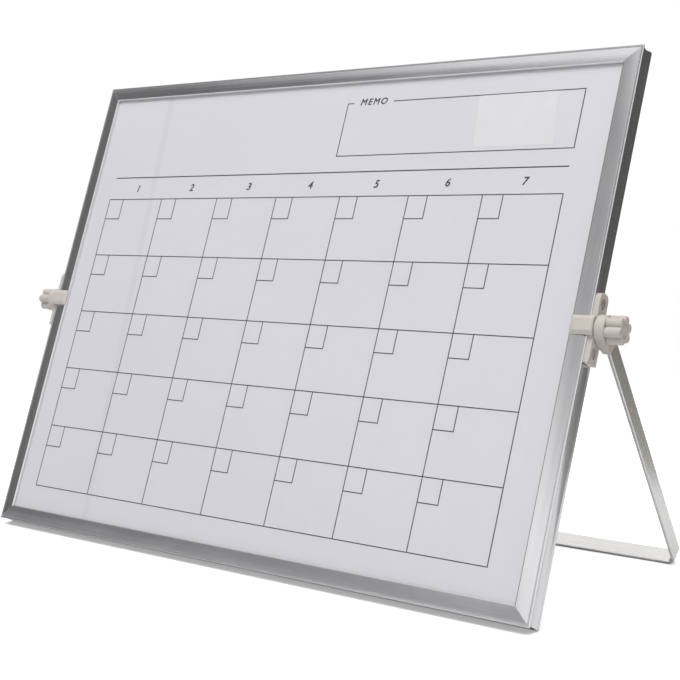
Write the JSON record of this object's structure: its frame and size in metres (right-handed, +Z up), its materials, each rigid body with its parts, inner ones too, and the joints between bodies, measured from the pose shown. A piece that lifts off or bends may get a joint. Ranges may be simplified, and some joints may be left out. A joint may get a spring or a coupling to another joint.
{
  "type": "desk whiteboard easel",
  "caption": "Framed double-sided magnetic writing board that turns in a bent flat-bar stand and is clamped at any angle by a lobed knob on either side.",
  "frame": {"origin": "on the table, under the middle of the whole object's outline, with the board leaning at its pictured angle", "axes": "+X across the board to the right knob, +Y from the writing face towards the foot of the stand, +Z up"},
  "size_m": [0.3878, 0.1572, 0.2633],
  "materials": {
    "writing_enamel": "smooth satin white enamel",
    "core": "raw fibreboard",
    "rail_aluminium": "fine satin anodised",
    "key_plastic": "moulded black",
    "pale_plastic": "moulded warm pale grey, soft gloss",
    "stand_steel": "brushed along the bar",
    "screw_steel": "bright plated",
    "plated_steel": "zinc plated"
  },
  "bodies": {
    "board": {"front_sheet": "writing_enamel", "core_board": "core", "rear_sheet": "writing_enamel", "bottom_rail": "rail_aluminium", "right_rail": "rail_aluminium", "top_rail": "rail_aluminium", "left_rail": "rail_aluminium", "corner_key_lower_left": "key_plastic", "corner_key_lower_right": "key_plastic", "corner_key_upper_left": "key_plastic", "corner_key_upper_right": "key_plastic", "left_bracket": "pale_plastic", "right_bracket": "pale_plastic", "left_bracket_screws": "screw_steel", "right_bracket_screws": "screw_steel", "left_captive_nut": "plated_steel", "right_captive_nut": "plated_steel"},
    "stand": {"stand_bar": "stand_steel", "left_hub": "pale_plastic", "right_hub": "pale_plastic"},
    "left_clamp_washer": {"left_washer": "plated_steel"},
    "left_clamp_knob": {"left_knob": "pale_plastic", "left_knob_stud": "plated_steel"},
    "right_clamp_washer": {"right_washer": "plated_steel"},
    "right_clamp_knob": {"right_knob": "pale_plastic", "right_knob_stud": "plated_steel"}
  },
  "joints": [
    {"name": "stand_turn", "type": "hinge", "parent": "board", "child": "stand", "pos_m": [0, -0.02144, 0.13169], "axis": [1, 0, 0], "continuous": true},
    {"name": "right_clamp_travel", "type": "slide", "parent": "board", "child": "right_clamp_washer", "axis": [1, 0, 0], "range_m": [0, 0.0007]},
    {"name": "right_knob_turn", "type": "hinge", "parent": "right_clamp_washer", "child": "right_clamp_knob", "pos_m": [0, -0.02144, 0.13169], "axis": [1, 0, 0], "range_deg": [0, 360]},
    {"name": "left_clamp_travel", "type": "slide", "parent": "board", "child": "left_clamp_washer", "axis": [-1, 0, 0], "range_m": [0, 0.0007]},
    {"name": "left_knob_turn", "type": "hinge", "parent": "left_clamp_washer", "child": "left_clamp_knob", "pos_m": [0, -0.02144, 0.13169], "axis": [-1, 0, 0], "range_deg": [0, 360]}
  ],
  "couplings": [
    {"joint": "right_knob_turn", "follows": "right_clamp_travel", "rad_per_m": 8975.9},
    {"joint": "left_knob_turn", "follows": "left_clamp_travel", "rad_per_m": 8975.9}
  ]
}
